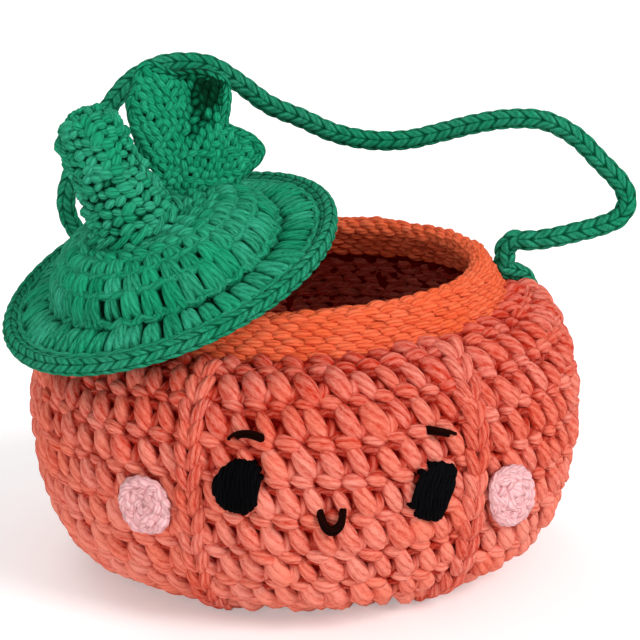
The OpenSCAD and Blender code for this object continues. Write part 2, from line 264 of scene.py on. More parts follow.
def around(line, sides, closed):
    """Directions out from a line, this many round it, at each of its points."""
    side, other = frames(line, closed)
    a = (np.arange(sides) * 2 * np.pi / sides)[None, :, None]
    return side[:, None] * np.cos(a) + other[:, None] * np.sin(a)


class Skein:
    """Strands of yarn that make up one piece. A strand's rows hold x, y, z, its radius, how far it
    stands out of the fabric, which sets its painted shade, the fabric's own direction out (3) and its
    tint. Nothing goes below the floor."""

    def __init__(self, yarn_r):
        self.yarn_r = yarn_r
        self.points, self.corners, self.faces, self.marks, self.deep, self.map = [], [], [], [], [], []
        self.count = 0

    def rings(self, grid, depth, ply, along, tint, closed, gap, girth):
        """Skin over a grid of points: one ring per row, closed around."""
        rows, sides = grid.shape[:2]
        index = np.arange(rows * sides).reshape(rows, sides) + self.count
        k = np.arange(rows if closed else rows - 1)
        after = (k + 1) % rows
        j = np.arange(sides)
        right = (j + 1) % sides
        face = np.stack([index[k][:, j], index[k][:, right],
                         index[after][:, right], index[after][:, j]], -1)
        ends = np.append(along, along[-1] + gap) if closed else along
        turns = np.stack([j / sides, (j + 1) / sides, (j + 1) / sides, j / sides], -1)
        run = np.stack([ends[k], ends[k], ends[k + 1], ends[k + 1]], -1)
        shade = np.stack([tint[k], tint[k], tint[after], tint[after]], -1)
        turns = np.broadcast_to(turns[None], face.shape)
        run = np.broadcast_to(run[:, None], face.shape)
        shade = np.broadcast_to(shade[:, None], face.shape)
        self.points.append(grid.reshape(-1, 3))
        self.deep.append(depth.reshape(-1))
        self.faces.append(np.full(face.shape[0] * sides, 4))
        self.corners.append(face.reshape(-1))
        self.marks.append(np.stack([ply(turns, run), run, shade], -1).reshape(-1, 3))
        self.map.append((run.reshape(-1, 4), turns.reshape(-1, 4), girth))
        if not closed:
            for row, flip in ((0, -1), (rows - 1, 1)):
                self.corners.append(index[row][::flip])
                self.faces.append(np.array([sides]))
                self.marks.append(np.tile([0, along[row], tint[row]], (sides, 1)))
                self.map.append((None, sides, 0))
        self.count += rows * sides

    def strand(self, rows, closed=False, steps=3, sides=8, plies=6, pitch=30):
        """A round strand of twisted plies through the rows."""
        line = through(np.asarray(rows, float), steps, closed)
        xyz, radius, out, normal, tint = line[:, :3], line[:, 3], line[:, 4], line[:, 5:8], line[:, 8]
        ring = around(xyz, sides, closed)
        grid = xyz[:, None] + ring * radius[:, None, None]
        rise = out[:, None] + radius[:, None] * (ring * unit(normal)[:, None]).sum(-1)

        def ply(turn, run):
            return plies * turn + run / pitch * plies

        gap, girth = np.linalg.norm(xyz[0] - xyz[-1]), 2 * np.pi * radius.mean()
        self.rings(grid, rise / self.yarn_r, ply, runs_of(xyz), tint, closed, gap, girth)

    def braid(self, line, radius, columns=3, stitch=4.2, relief=0.2, closed=False, slope=0.7, deep=0.0):
        """A round cord of chain stitches: columns of slanting strands, every other one slanting back."""
        path = np.vstack([line, line[:1]]) if closed else line
        length = runs_of(path)[-1]
        stitches = round(length / stitch)
        step, per_stitch, strips, per_strip = length / stitches, 8, 2 * columns, 6
        rows = evenly(path, stitches * per_stitch + 1)
        rows = rows[:-1] if closed else rows
        share = np.linspace(0, 1, len(rows))
        radius, deep = (np.interp(share, np.linspace(0, 1, np.size(x)), np.atleast_1d(x))
                        for x in (radius, deep))
        sides = strips * per_strip
        along = np.arange(len(rows)) * step / per_stitch

        def phase(turn, run, column):
            x = turn * strips - column
            return run / step + slope * np.where(column % 2, 1 - x, x)

        def ply(turn, run):
            middle = np.floor(turn.mean(-1, keepdims=True) * strips)
            return 2 * phase(turn, run, middle)

        j = np.arange(sides)
        column = j // per_strip
        wave = np.abs(np.sin(np.pi * phase(j / sides, along[:, None], column)))
        rounded = np.abs(np.sin(np.pi * (j / per_strip - column))) ** 0.45
        height = wave**0.6 * (0.25 + 0.75 * rounded)
        thick = radius[:, None] * (1 - relief + relief * height)
        grid = rows[:, None, :3] + around(rows[:, :3], sides, closed) * thick[:, :, None]
        # Painted shade: the cord darkens in its grooves, and further where extra shade is given, as if it
        # lay deeper.
        depth = 0.6 - 1.7 * (1 - height) - deep[:, None]
        tint = 0.5 + 0.3 * np.sin(along * 1.7) * np.sin(along * 0.43 + 1)
        self.rings(grid, depth, ply, along, tint, closed, step / per_stitch, 2 * np.pi * np.mean(radius))

    def bake_map(self):
        """Every strip of skin has its own room in a square."""
        apart, slack, margin = 1.15, 1.03, 1.001
        runs = [m for m in self.map if m[0] is not None]
        total = sum((run.max() - run.min()) * girth * apart for run, _, girth in runs)
        wide = math.sqrt(total) * slack
        uv, x = [], 0.0
        tall = max(girth for *_, girth in runs) * apart
        for run, turns, girth in self.map:
            if run is None:
                uv.append(np.full((turns, 2), 0.001))
                continue
            start = run[:, 0] - run.min() + x
            row = np.floor(start / wide)
            u0 = start - row * wide
            u1 = u0 + run[:, 2] - run[:, 0]
            u = np.stack([u0, u0, u1, u1], -1)
            uv.append(np.stack([u, row[:, None] * tall + turns * girth], -1).reshape(-1, 2))
            x += run.max() - run.min()
        uv = np.vstack(uv)
        return uv / (uv.max() * margin)

    def piece(self, name, body, slot, material, *nodes):
        """The strands as one piece, which rides on a body and takes the place of these nodes."""
        data = bpy.data.meshes.new(name)
        points, corners = np.vstack(self.points) * 0.001, np.concatenate(self.corners)
        points[:, 2] = np.maximum(points[:, 2], 0)
        sizes = np.concatenate(self.faces)
        starts = np.concatenate([[0], np.cumsum(sizes)[:-1]])
        data.vertices.add(len(points))
        data.vertices.foreach_set("co", points.ravel())
        data.loops.add(len(corners))
        data.loops.foreach_set("vertex_index", corners.astype(np.int32))
        data.polygons.add(len(sizes))
        data.polygons.foreach_set("loop_start", starts.astype(np.int32))
        data.polygons.foreach_set("use_smooth", np.ones(len(sizes), bool))
        data.update(calc_edges=True)
        marks = data.attributes.new("yarn", "FLOAT_VECTOR", "CORNER")
        marks.data.foreach_set("vector", np.vstack(self.marks).ravel())
        deep = data.attributes.new("depth", "FLOAT", "POINT")
        deep.data.foreach_set("value", np.concatenate(self.deep))
        layer = data.uv_layers.new(name="OFBake")
        layer.uv.foreach_set("vector", self.bake_map().ravel())
        data.materials.append(material)
        thing = bpy.data.objects.new(name, data)
        bpy.context.scene.collection.objects.link(thing)
        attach(thing, body)
        if nodes:
            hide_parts(*nodes)
        return thing


# Fabric: a surface, and stitches laid on it
class Fabric:
    """A surface to crochet on. place takes angles in degrees and ways in mm up the surface."""

    def __init__(self, place):
        self.place = place

    def lay(self, angle, way, out, radius, tint):
        """Rows for a strand that goes through these places."""
        given = (np.asarray(x, float) for x in (angle, way, out, radius, tint))
        angle, way, out, radius, tint = (x.ravel() for x in np.broadcast_arrays(*given))
        near = 0.3
        across = self.place(angle + near, way) - self.place(angle - near, way)
        up = self.place(angle, way + near) - self.place(angle, way - near)
        normal = unit(np.cross(across, up))
        spot = self.place(angle, way) + normal * out[:, None]
        return np.column_stack([spot, radius, out, normal, tint])

    def inset(self, depth):
        """The same surface further in, with the same directions."""
        return Fabric(lambda angle, way: self.lay(angle, way, -depth, 1, 0)[:, :3])

    def reverse(self, depth):
        """The wrong side: this surface further in, facing the other way."""
        return Fabric(lambda angle, way: self.lay(-angle, way, -depth, 1, 0)[:, :3])


# Stitches. Columns: share of the width, share of the height, how far out and how thick in yarn radii.
# SINGLE makes the bottom, SLANT the wall, DASH its loops, the cheeks and the crown's short rounds, POST
# the cap's tall rounds, RUN the collar, BEAD the stem, BUMP the leaf, PURL and KNOT the wrong sides.
SINGLE = np.array([
    [0.05, 1.08, -0.60, 0.90], [0.13, 0.82, 0.15, 1.14], [0.28, 0.48, 0.38, 1.28],
    [0.44, 0.16, 0.12, 1.14], [0.54, -0.08, -0.70, 0.90], [0.62, -0.14, -1.25, 0.80],
    [0.70, -0.04, -0.75, 0.88], [0.78, 0.22, -0.20, 1.04], [0.87, 0.52, -0.02, 1.10],
    [0.95, 0.82, -0.28, 1.00], [0.99, 1.05, -0.80, 0.85]])
SLANT = np.array([
    [0.00, 1.10, -0.40, 1.15], [0.10, 0.86, 0.15, 1.35], [0.26, 0.50, 0.35, 1.48],
    [0.42, 0.16, 0.15, 1.40], [0.54, -0.08, -0.40, 1.15], [0.66, -0.10, -0.60, 1.05],
    [0.78, 0.12, -0.30, 1.15], [0.86, 0.42, -0.45, 1.10], [0.89, 0.74, -0.85, 0.95],
    [0.93, 1.05, -0.90, 0.95]])
BUMP = np.array([
    [0.08, 0.98, -0.70, 0.85], [0.22, 0.78, 0.15, 1.00], [0.42, 0.48, 0.45, 1.15],
    [0.62, 0.20, 0.10, 1.00], [0.78, 0.02, -0.70, 0.85]])
BEAD = np.array([
    [0.02, 0.46, -1.00, 0.80], [0.16, 0.70, 0.00, 1.00], [0.46, 0.56, 0.40, 1.15],
    [0.76, 0.34, 0.00, 1.00], [0.92, 0.50, -1.00, 0.80]])
RUN = np.array([
    [0.00, 0.66, -0.40, 0.92], [0.18, 0.64, 0.02, 1.00], [0.44, 0.52, 0.20, 1.05],
    [0.70, 0.38, 0.02, 1.00], [0.88, 0.34, -0.40, 0.92]])
KNOT = np.array([
    [0.04, 1.00, -0.40, 0.90], [0.18, 0.66, 0.35, 1.00], [0.36, 0.24, 0.30, 1.00],
    [0.46, -0.04, -0.60, 0.85], [0.54, -0.04, -0.60, 0.85], [0.64, 0.24, 0.30, 1.00],
    [0.82, 0.66, 0.35, 1.00], [0.96, 1.00, -0.40, 0.90]])
POST = np.array([
    [0.14, 1.02, -0.50, 0.95], [0.19, 0.80, 0.15, 1.05], [0.23, 0.50, 0.30, 1.10],
    [0.27, 0.20, 0.15, 1.05], [0.33, -0.04, -0.60, 0.90], [0.42, -0.06, -0.90, 0.80],
    [0.51, -0.02, -0.60, 0.90], [0.56, 0.20, 0.15, 1.05], [0.60, 0.50, 0.30, 1.10],
    [0.64, 0.80, 0.15, 1.05], [0.70, 1.02, -0.50, 0.95], [0.90, 0.90, -1.40, 0.75]])
DASH = np.array([
    [0.02, 0.70, -0.70, 0.85], [0.16, 0.74, 0.10, 1.00], [0.42, 0.60, 0.40, 1.10],
    [0.66, 0.40, 0.15, 1.00], [0.80, 0.14, -0.60, 0.88], [0.86, 0.40, -1.10, 0.80]])
PURL = np.array([
    [0.00, 0.42, -0.60, 0.80], [0.25, 0.60, 0.30, 0.95], [0.50, 0.62, 0.50, 1.00],
    [0.75, 0.48, 0.20, 0.90]])
# Half of a raised post. Columns: mm aside, share of a round up, mm out and mm thick.
RAISED = np.array([[0.1, -0.2, -2.0, 1.0], [0.8, 0.1, -0.2, 1.5], [1.7, 0.5, 0.5, 1.7],
                   [2.4, 0.9, 0.1, 1.5], [2.5, 1.2, -1.8, 0.9]])
# A sewing stitch round the stem's foot. Columns: share of the width, mm up and mm out.
SEWN = np.array([[-0.3, 0.1, 0.8], [-0.1, 0.6, 1.0], [0.2, 1.4, 0.7], [0.5, 2.2, 0.2], [0.7, 2.8, -1.2]])
# How much painted light lessens painted shade, and how thick the sheets of painted shade are.
PAINTED_LIGHT_RISE, SHADE_SHEET_T = 0.3, 0.5


def work_round(skein, fabric, count, low, high, tile, phase=0.0, loose=0.03, sink=1.0, steps=2, sides=8,
               mixed=0.0, painted_light=0.0):
    """A round of stitches from one way to another up the fabric. A share of them, mixed, leans back.
    Painted light makes them paler and takes away some of their painted shade, as if they stood further
    out."""
    yarn_r = skein.yarn_r
    across = np.where(rng.random((count, 1)) < mixed, tile[:, 0].max() - tile[:, 0], tile[:, 0])
    aside, taller, higher, prouder, thicker = rng.normal(0, loose, (5, count, 1))
    tint = np.repeat(rng.random((count, 1)), len(tile), 1) + painted_light
    share = (np.arange(count)[:, None] + phase + across + 0.8 * aside) / count
    way = low + (high - low) * (tile[:, 1] * (1 + 0.8 * taller) + higher)
    out = (tile[:, 2] - sink + 2.5 * prouder) * yarn_r
    thick = tile[:, 3] * yarn_r * (1 + 1.5 * thicker)
    rows = fabric.lay(360 * share, way, out, thick, tint)
    rows[:, 4] += PAINTED_LIGHT_RISE * max(painted_light, 0) * yarn_r
    skein.strand(rows, True, steps, sides)


def lay_ring(skein, fabric, count, way, out, radius, wave=0.0, phase=0.0, steps=2, sides=6):
    """A ring of yarn that waves a little, such as the chain that tops a round."""
    k = np.arange(count * 2)
    share = (k / 2 + phase) / count
    up = way + wave * np.where(k % 2, 1, -1)
    tint = 0.3 + 0.4 * rng.random(len(k))
    skein.strand(fabric.lay(360 * share, up, out, radius, tint), True, steps, sides)


def lay_shade_sheet(layers, tone, column, gap, girth, name, body, slot, material):
    """A thin closed skin over layers of points, painted with the shade that shows in the holes between
    stitches.
    """
    skein, grid, plies = Skein(1), np.stack(layers), 40
    along = runs_of(grid[:, column])
    skein.rings(grid, np.full(grid.shape[:2], tone), lambda turn, run: plies * turn, along,
                np.full(len(along), 0.5), True, gap, girth)
    skein.piece(name, body, slot, material)


def back_with_shade_sheet(fabric, ways, depth, name, body, slot, material, tone=-1.5):
    """A sheet of painted shade inside the fabric."""
    angles = np.arange(0, 360, 4.0)
    layers = [fabric.inset(depth).place(angles, np.full(len(angles), w)) for w in ways]
    layers += [fabric.inset(depth + SHADE_SHEET_T).place(angles, np.full(len(angles), w)) for w in ways[::-1]]
    girth = float(runs_of(layers[len(ways) // 2])[-1])
    lay_shade_sheet(layers, tone, 0, SHADE_SHEET_T, girth, name, body, slot, material)


def polar(angle, radius, height):
    """Points at angles from the middle of the face."""
    a = np.radians(angle - 90)
    return np.column_stack([radius * np.cos(a), radius * np.sin(a), height + 0 * a])


def follow(outline):
    """Radius and height at a way along an outline, which runs straight on past its ends."""
    run, past = runs_of(outline), 6
    first, last = unit(outline[0] - outline[1]) * past, unit(outline[-1] - outline[-2]) * past
    long = np.vstack([outline[0] + first, outline, outline[-1] + last])
    at = np.concatenate([[-past], run, [run[-1] + past]])
    return lambda way: (np.interp(way, at, long[:, 0]), np.interp(way, at, long[:, 1])), run[-1]


# Frames of the leaning mouth and of the open cap, which one turn about a pole would seat on the collar
def turned(axis, degrees):
    return np.array(Matrix.Rotation(math.radians(degrees), 3, Vector(axis)))


EDGE_R = 0.6 * LID_T
SEAT_Z = COLLAR_H + EDGE_R + LID_GAP
MOUTH_TURN = turned((0, 1, 0), -MOUTH_LEAN)
AWAY = np.array([-math.cos(math.radians(LID_WAY)), -math.sin(math.radians(LID_WAY)), 0])
LID_TURN = turned((-AWAY[1], AWAY[0], 0), LID_TILT)
HALF_MOVE = math.hypot(LID_SHIFT, LID_LIFT) / 2
POLE_DROP = HALF_MOVE / math.tan(math.radians(LID_TILT / 2))
POLE = AWAY * (LID_SHIFT / 2 + POLE_DROP * LID_LIFT / (2 * HALF_MOVE))
POLE = POLE + [0, 0, SEAT_Z + LID_LIFT / 2 - POLE_DROP * LID_SHIFT / (2 * HALF_MOVE)]


def mouth_frame(p):
    return p @ MOUTH_TURN.T + [0, 0, NECK_Z]


def cap_frame(p):
    return mouth_frame((p + [0, 0, SEAT_Z] - POLE) @ LID_TURN.T + POLE)


# Wall outline: radius, height and way from the foot, with the flat bottom at ways below 0
def quarter(k, fullness):
    return np.maximum(0, 1 - np.abs(k) ** fullness) ** (1 / fullness)


def wall_outline():
    """Radius and height from the middle of the bottom up to the neck."""
    f = np.linspace(0, np.pi / 2, 90)
    low_z = WIDEST_Z * (1 - np.cos(f) ** (2 / LOW_FULLNESS))
    low_r = FOOT_R + (BODY_R - FOOT_R) * quarter((WIDEST_Z - low_z) / WIDEST_Z, LOW_FULLNESS)
    rise = NECK_Z - WIDEST_Z
    high_z = WIDEST_Z + rise * np.sin(f[1:]) ** (2 / HIGH_FULLNESS)
    high_r = NECK_R + (BODY_R - NECK_R) * quarter((high_z - WIDEST_Z) / rise, HIGH_FULLNESS)
    return np.vstack([[0, 0], np.column_stack([low_r, low_z]), np.column_stack([high_r, high_z])])


WALL_LINE = wall_outline()
WALL_AT, WALL_END = follow(WALL_LINE)
WALL_TOP = WALL_END - FOOT_R


def wall_r(way):
    return float(WALL_AT(way + FOOT_R)[0])


def leaned(p):
    """The wall's points, raised on the right and lowered on the left so that the mouth leans."""
    share = np.clip(p[:, 2] / NECK_Z, 0, 1)
    p[:, 2] += p[:, 0] * math.tan(math.radians(MOUTH_LEAN)) * share**2
    return p


# The soft wall settles: fuller above its middle, drawn in below it and at the foot
SETTLE, TUCK, TUCK_H = 1.2, 2.4, 7


def wall_place(angle, way):
    r, z = WALL_AT(way + FOOT_R)
    lobe = (1 - np.cos(np.radians(SEGMENTS * angle))) / 2
    fade = np.sin(np.pi * np.clip(z / NECK_Z, 0, 1)) ** 0.6
    fuller = SETTLE * np.sin(2 * np.pi * (z / NECK_Z - 0.5))
    tucked = TUCK * r / FOOT_R * np.exp(-((z / TUCK_H) ** 2))
    return leaned(polar(angle, r - VALLEY_DEPTH * lobe**2 * fade + (fuller - tucked), z))


WALL = Fabric(wall_place)


# Handle
def make_handle():
    line, proud = through(HANDLE_ROUTE, 8, False), 0.15
    skein = Skein(1)
    skein.braid(line, CORD_D / 2 + proud)
    cord = skein.piece("handle_cord_braid", "handle", "green_yarn", GREEN, "handle_cord")
    [tuple(p) for p in line * 0.001]


def make_tacks():
    """The sewn ends: each turns down at the collar, and its tail lies on the shoulder."""
    left, right = HANDLE_ROUTE[0], HANDLE_ROUTE[-1]
    axis = unit(right - left)
    overlap, sag = 0.5, np.array([0, 0, 1])
    below_top, proud = np.array([1, 6, 10]), np.array([3.2, 2.4, 0.6])
    thick = CORD_D / 2 + np.array([0.25, 0.4, 0.4, 0.2, -0.1, -0.6, -1.2])
    for name, end, inward in (("tack_left", left, axis), ("tack_right", right, -axis)):
        angle = math.degrees(math.atan2(end[1], end[0])) + 90
        tail = WALL.lay(angle, WALL_TOP - below_top, proud, 1, 0)[:, :3]
        start = end - inward * overlap
        bend = start + inward * (TACK_RUN + TACK_D / 2)
        points = np.vstack([start, start + inward * TACK_RUN, bend - [0, 0, TACK_D / 2],
                            (bend + tail[0]) / 2 - sag, tail])
        skein = Skein(1)
        skein.braid(through(points, 6, False), thick, stitch=3.4)
        skein.piece(name + "_sewn", "bag", "green_yarn", GREEN, name)


make_handle()
make_tacks()


# Bag
ROWS, ROUNDS, STITCH_W, TURN_ON, TALL_SHARE = 10, 17, 6.8, 0.32, 0.62
ROW, STEP = WALL_TOP / ROWS, WALL_TOP / ROUNDS
LEAST_ROW, BARE_TOP = 2, 2
# Painted light: the foot of the wall is painted paler, fading up the wall, for the light that reaches the
# lower wall.
FOOT_PAINTED_LIGHT, PAINTED_LIGHT_LOSS = 1.6, 2.1
WRONG_SIDE = WALL.reverse(WALL_T - 0.6)


def count_at(way):
    """Stitches in a round of the wall, the same number in each segment."""
    return max(SEGMENTS, SEGMENTS * round(2 * math.pi * wall_r(way) / STITCH_W / SEGMENTS))


def make_wall():
    """Rows of tall slanting stitches with slits between them, each topped by a round of small loops."""
    for part, group in enumerate(np.array_split(np.arange(ROWS + 1), 4)):
        skein = Skein(1.75)
        for i in group:
            low = (i - 0.5) * ROW
            loops = low + TALL_SHARE * ROW
            count = count_at(min(max(loops, 0), WALL_TOP))
            turn = 2 * TURN_ON * i
            for tile, start, end, phase in ((SLANT, low, loops, 0.0), (DASH, loops, low + ROW, 0.3)):
                start, end = max(start, 0), min(end, WALL_TOP)
                if end - start < LEAST_ROW:
                    continue
                painted_light = FOOT_PAINTED_LIGHT - PAINTED_LIGHT_LOSS * start / WALL_TOP
                work_round(skein, WALL, count, start, end, tile, turn + phase, loose=0.07, sink=1.2,
                           painted_light=painted_light)
                lay_ring(skein, WALL, count, end - 0.3, -2.4, 1.5, 0.6, turn)
        skein.piece(f"wall_rounds_{part + 1}", "bag", "coral_yarn", CORAL, "wall")


def make_wrong_side():
    """The wall's inside, and a sheet of painted shade between its two sides."""
    skein = Skein(1.45)
    for i in range(ROUNDS):
        low, high = i * STEP, (i + 1) * STEP
        count = count_at((low + high) / 2)
        work_round(skein, WRONG_SIDE, count, low, high, PURL, TURN_ON * i, sink=0.2, sides=6)
        lay_ring(skein, WRONG_SIDE, count, low, -0.6, 1.7, 0.6, TURN_ON * i)
    skein.piece("wall_wrong_side", "bag", "coral_yarn", CORAL)
    back_with_shade_sheet(WALL, np.linspace(0, WALL_TOP, 60), 2.7, "wall_shade_sheet", "bag", "coral_yarn", CORAL)


def make_columns():
    """Six columns of raised posts, two strands to a post."""
    skein = Skein(1.2)
    aside, up, out, thick = RAISED.T
    for j in range(SEGMENTS):
        middle = (j + 0.5) * 360 / SEGMENTS
        for i in range(ROUNDS):
            low = (i + 0.15 + rng.normal(0, 0.04)) * STEP
            if low + STEP > WALL_TOP - BARE_TOP:
                continue
            r = wall_r(low + STEP / 2)
            tint = rng.random()
            for side in (LEFT, RIGHT):
                across = np.degrees((aside * side + rng.normal(0, 0.2)) / r)
                way = np.maximum(low + STEP * up, 0)
                skein.strand(WALL.lay(middle + across, way, out, thick, tint))
    skein.piece("wall_columns", "bag", "coral_yarn", CORAL)


def make_bottom():
    """Flat rounds from the middle out, with their wrong side showing inside the bag."""
    floor_inside = WALL.reverse(WALL_T - 1.2)
    rounds, more = 6, 6
    skein, step = Skein(1.8), FOOT_R / rounds
    for i in range(rounds):
        low, high, count = -FOOT_R + i * step + 0.6, -FOOT_R + (i + 1) * step, more * (i + 1)
        work_round(skein, WALL, count, low, high, SINGLE, TURN_ON * i, sink=1.85)
        work_round(skein, floor_inside, count, low, high, PURL, TURN_ON * i, sink=0.4, sides=6)
        lay_ring(skein, floor_inside, count, high, -1.0, 1.4, 0.5, TURN_ON * i)
    skein.piece("bottom_rounds", "bag", "coral_yarn", CORAL, "bottom")
    back_with_shade_sheet(WALL, np.linspace(-FOOT_R + 0.3, 0, 20), 3.0, "bottom_shade_sheet", "bag", "coral_yarn", CORAL)


def make_collar():
    """Close rounds up the outside of the band, over its crest and down its inside."""
    crest_r, mid_r = WALL_T / 2, NECK_R - WALL_T / 2 - COLLAR_LEAN
    a = np.linspace(0, np.pi, 15)
    crest = np.column_stack([mid_r + crest_r * np.cos(a), COLLAR_H - crest_r + crest_r * np.sin(a)])
    at, length = follow(np.vstack([[NECK_R, 0.1], crest, [NECK_R - WALL_T, 0.1]]))
    fabric = Fabric(lambda angle, way: mouth_frame(polar(angle, *at(way))))
    skein, rounds, count, turn_on, overlap = Skein(1.3), 13, 66, 0.42, 1.6
    ways = np.linspace(-overlap, length + overlap, rounds + 1)
    for i, (low, high) in enumerate(zip(ways, ways[1:])):
        work_round(skein, fabric, count, low, high, RUN, turn_on * i, loose=0.05, sink=0.35)
    skein.piece("collar_rounds", "bag", "flame_yarn", FLAME, "collar")
    back_with_shade_sheet(fabric, np.linspace(0, length, 30), 1.6, "collar_shade_sheet", "bag", "flame_yarn", FLAME)


# Face: what is sewn on the wall
def spot_on_wall(angle, z, turn=0.0):
    """Laying on the wall by distances to the right and up from a spot."""
    way = float(np.interp(z, WALL_LINE[1:, 1], runs_of(WALL_LINE)[1:])) - FOOT_R
    r = wall_r(way)
    c, s = math.cos(math.radians(turn)), math.sin(math.radians(turn))

    def lay(u, v, out, radius, tint):
        u, v = np.asarray(u, float), np.asarray(v, float)
        return WALL.lay(angle + np.degrees((u * c - v * s) / r), way + u * s + v * c, out, radius, tint)

    return lay


def make_eye(name, side):
    """Satin stitch: strands side by side, their ends uneven."""
    lay = spot_on_wall(side * EYE_ANGLE, EYE_Z - side * EYE_UNEVEN, -EYE_SLANT[side])
    skein, (wide, tall) = Skein(1), EYE_SIZE[side]
    yarn_r, apart, inside = 0.95, 1.15, 0.6
    reach = np.array([-1, -0.93, -0.5, 0, 0.5, 0.93, 1])
    for u in np.linspace(-wide / 2 + inside, wide / 2 - inside, round(wide / apart)):
        t = 2 * u / wide
        half = tall / 2 * (1 - abs(t) ** EYE_BLUNT[side]) ** 0.6 + rng.normal(0, 0.14)
        cut = EYE_CUT[side] * tall * max(0, -t)
        v = (half - cut / 2) * reach - cut / 2
        bend = EYE_BEND[side] * ((2 * v / tall) ** 2 - 0.6)
        dome = 0.6 * (1 - t**2)
        out = np.array([-1.2, 1.1, 1.7 + 0.8 * dome, 1.8 + dome, 1.7 + 0.8 * dome, 1.1, -1.2])
        skein.strand(lay(u + bend + rng.normal(0, 0.12, len(reach)), v, out, yarn_r, rng.random()))
    skein.piece(name + "_satin", "bag", "black_yarn", BLACK, name)


def make_brow(name, side):
    """Two strands, the lower one shorter, thinner towards the outer end."""
    lay = spot_on_wall(side * BROW_ANGLE + BROW_SHIFT, BROW_Z - side * BROW_UNEVEN, BROW_TURN[side])
    skein = Skein(1)
    out = np.array([-1.5, 0.9, 1.8, 2.0, 1.8, 0.9, -1.5])
    for shift, reach in ((-0.4, 0.72), (0.4, 1)):
        share = np.array([-1.05, -0.95, -0.5, 0, 0.5, 0.95, 1.05])
        share = 1 - (1 - share) * reach if side == LEFT else reach * (share + 1) - 1
        v = BROW_ARCH[side] * (1 - share**2) + 0.9 * shift - 0.3
        thick = np.interp(-side * share, [-1, 0, 1], [0.4, 0.65, 0.8])
        skein.strand(lay(share * BROW_LEN / 2, v, out, thick, 0.5 + shift))
    skein.piece(name + "_stitch", "bag", "dark_yarn", DARK, name)


def make_smile():
    """Two strands in a curve, their ends going into the wall."""
    lay = spot_on_wall(SMILE_ANGLE, SMILE_Z)
    skein, yarn_r = Skein(1), 0.95
    f = np.linspace(-1, 1, 9)
    out = np.where(np.abs(f) > 0.95, -1.0, 1.7)
    for shift in (-0.4, 0.4):
        v = SMILE_DROP * (np.abs(f) ** 2.3 - 0.5) + shift
        skein.strand(lay(f * SMILE_W / 2, v, out, yarn_r, 0.5 + shift))
    skein.piece("smile_stitch", "bag", "dark_yarn", DARK, "smile")


def make_cheek(name, side):
    """A small disc in four rounds, on rings that fill it."""
    lay = spot_on_wall(side * CHEEK_ANGLE, CHEEK_Z - side * CHEEK_UNEVEN)

    def place(angle, way):
        a = np.radians(-angle)
        c, s = np.cos(a), np.sin(a)
        corner = (np.abs(c) ** CHEEK_SQUARE + np.abs(s) ** CHEEK_SQUARE) ** (-1 / CHEEK_SQUARE)
        up = way * corner * s
        aside = way * corner * c * CHEEK_W / CHEEK_H - CHEEK_SHEAR[side] * up
        return lay(aside, up, CHEEK_OUT, 1, 0)[:, :3]

    fabric, skein, reach = Fabric(place), Skein(1.15), CHEEK_SHARE[side] * CHEEK_H / 2
    for i, share in enumerate((0.06, 0.27, 0.48, 0.69)):
        work_round(skein, fabric, 4 + 4 * i, share * reach, (share + 0.24) * reach, DASH, 0.3 * i,
                   loose=0.1, sink=0.4, mixed=0.3)
    for count, share, out, radius, wave in ((16, 0.9, -0.4, 1.15, 0.2), (12, 0.68, -0.9, 1.3, 0.1),
                                            (8, 0.42, -0.9, 1.3, 0.1), (5, 0.15, -0.8, 1.3, 0.0)):
        lay_ring(skein, fabric, count, share * reach, out, radius, wave)
    skein.piece(name + "_disc", "bag", "pink_yarn", PINK, name)


make_wall()
make_wrong_side()
make_columns()
make_bottom()
make_collar()
make_smile()
for side_name, side in (("left", LEFT), ("right", RIGHT)):
    make_eye(f"eye_{side_name}", side)
    make_brow(f"brow_{side_name}", side)
    make_cheek(f"cheek_{side_name}", side)

# Cap. The crown's shoulder stops at this angle above level, where the groove before the brim begins.
GROOVE = 16
CROWN_R = LID_R - 2 * EDGE_R - BRIM_W
CROWN_LOW = -LID_T / 2 + BRIM_RISE
CROWN_TOP = CROWN_LOW + LID_T + CROWN_H
POST_W, DASH_W, LEAST_POST, CAP_TURN_ON = 5.5, 4.2, 4.5, 0.37


def cap_outline():
    """Radius and height from the middle of the crown out to the brim's edge, and the crown's way."""
    a = np.radians(np.linspace(90, GROOVE, 20))
    shoulder = np.column_stack([CROWN_FLAT_R + (CROWN_R - CROWN_FLAT_R) * np.cos(a),
                                CROWN_LOW + (CROWN_H + LID_T) * np.sin(a)])
    crown = np.vstack([[0, CROWN_TOP], shoulder])
    return np.vstack([crown, [LID_R - 2 * EDGE_R, LID_T / 2]]), runs_of(crown)[-1]


CAP_LINE, CROWN_WAY = cap_outline()
CAP_AT, CAP_WAY = follow(CAP_LINE)
CAP = Fabric(lambda angle, way: cap_frame(polar(-angle, *CAP_AT(way))))
CAP_WRONG_SIDE = CAP.reverse(LID_T - 0.9)


